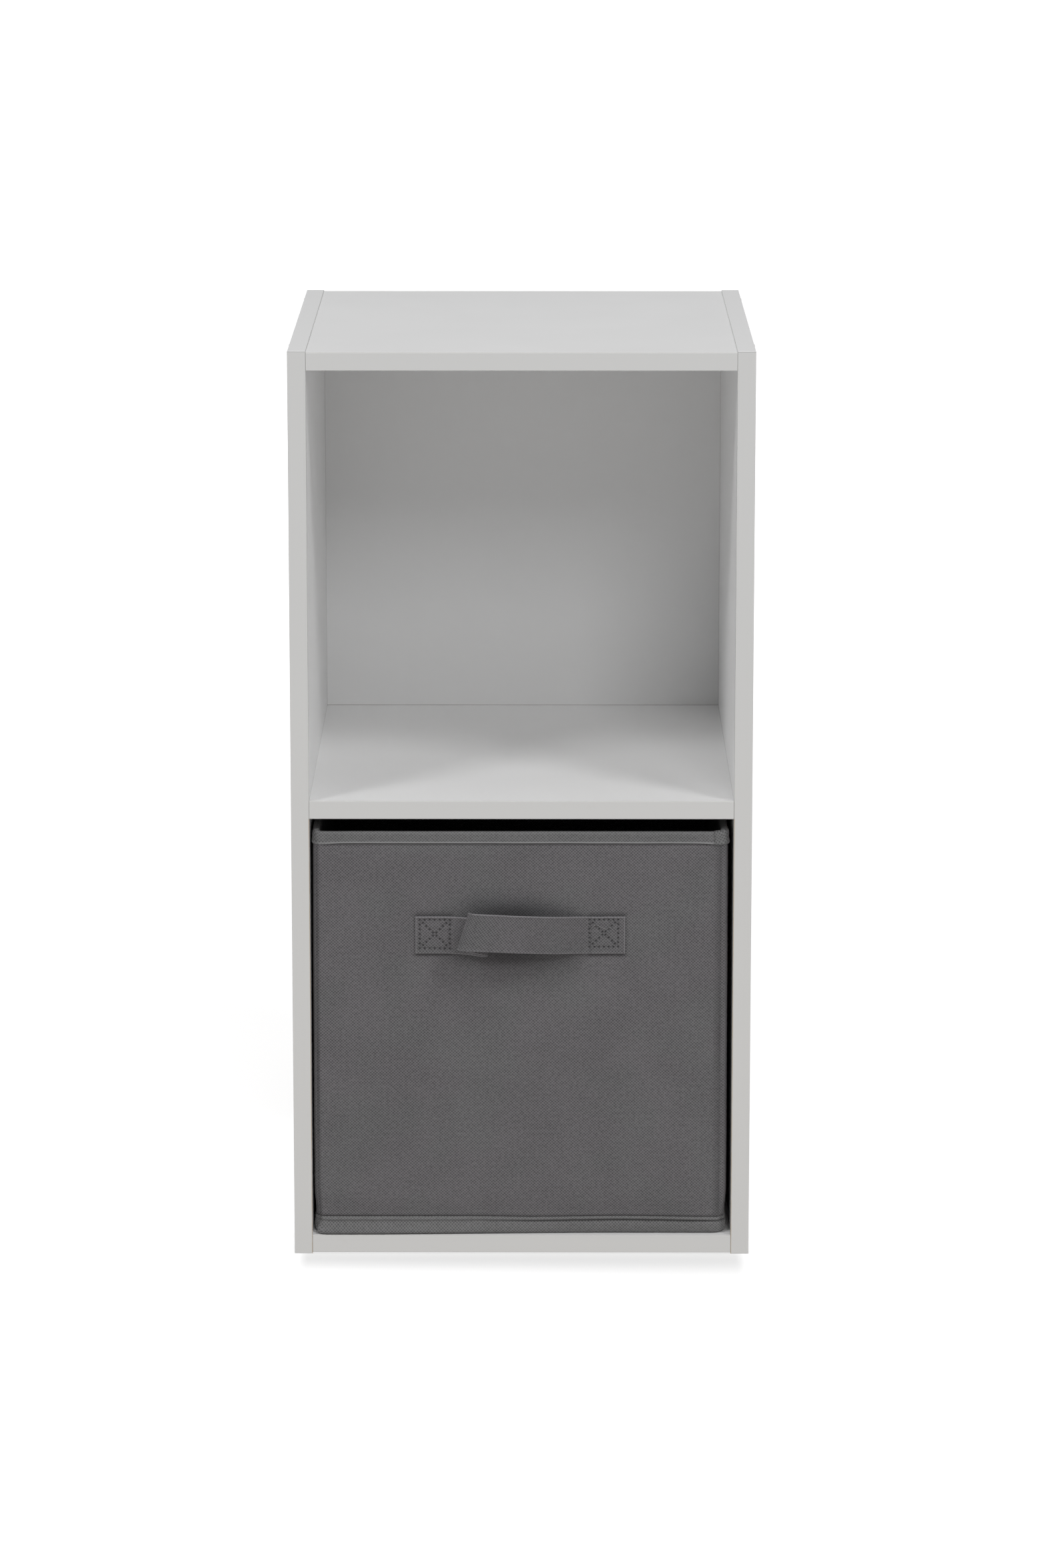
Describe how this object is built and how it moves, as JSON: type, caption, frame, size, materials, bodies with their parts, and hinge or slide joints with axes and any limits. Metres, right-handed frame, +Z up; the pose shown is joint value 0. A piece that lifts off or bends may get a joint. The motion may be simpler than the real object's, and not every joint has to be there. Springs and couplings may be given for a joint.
{
  "type": "cube shelf with fabric box",
  "caption": "Small open cube shelving unit in light laminated board, with a grey fabric storage box with a strap handle in its lower compartment.",
  "frame": {"origin": "on the floor (z = 0), under the middle of the whole object's outline", "axes": "+Z up; the open front with the strap faces -Y; +X to the right seen from the front"},
  "size_m": [0.3066, 0.31, 0.613],
  "materials": {
    "laminate": "satin",
    "edge_band": "satin",
    "hardboard": "satin",
    "screw_steel": "satin",
    "beech": "matte",
    "cap_plastic": "satin",
    "box_cloth": "matte",
    "trim_cloth": "matte",
    "grey_card": "matte"
  },
  "bodies": {
    "shelf": {"left_side_panel": "laminate", "right_side_panel": "laminate", "top_panel": "laminate", "middle_shelf": "laminate", "bottom_panel": "laminate", "back_panel": "hardboard", "left_side_front_band": "edge_band", "right_side_front_band": "edge_band", "left_side_top_band": "edge_band", "right_side_top_band": "edge_band", "top_panel_front_band": "edge_band", "middle_shelf_front_band": "edge_band", "bottom_panel_front_band": "edge_band", "top_panel_screws": "screw_steel", "middle_shelf_screws": "screw_steel", "bottom_panel_screws": "screw_steel", "top_panel_dowels": "beech", "middle_shelf_dowels": "beech", "bottom_panel_dowels": "beech", "left_screw_caps": "cap_plastic", "right_screw_caps": "cap_plastic", "back_panel_nails": "screw_steel"},
    "box": {"outer_cover": "box_cloth", "base_cloth": "box_cloth", "lining": "box_cloth", "front_stiffener": "grey_card", "rear_stiffener": "grey_card", "left_stiffener": "grey_card", "right_stiffener": "grey_card", "rim_binding": "trim_cloth", "lower_band": "trim_cloth", "handle_strap": "box_cloth"},
    "insert": {"insert_board": "grey_card", "insert_cover": "box_cloth"}
  },
  "joints": [
    {"name": "box_slide", "type": "slide", "parent": "shelf", "child": "box", "axis": [0, -1, 0], "range_m": [0, 0.29]},
    {"name": "insert_lift", "type": "slide", "parent": "box", "child": "insert", "axis": [0, 0, 1], "range_m": [0, 0.282]}
  ]
}
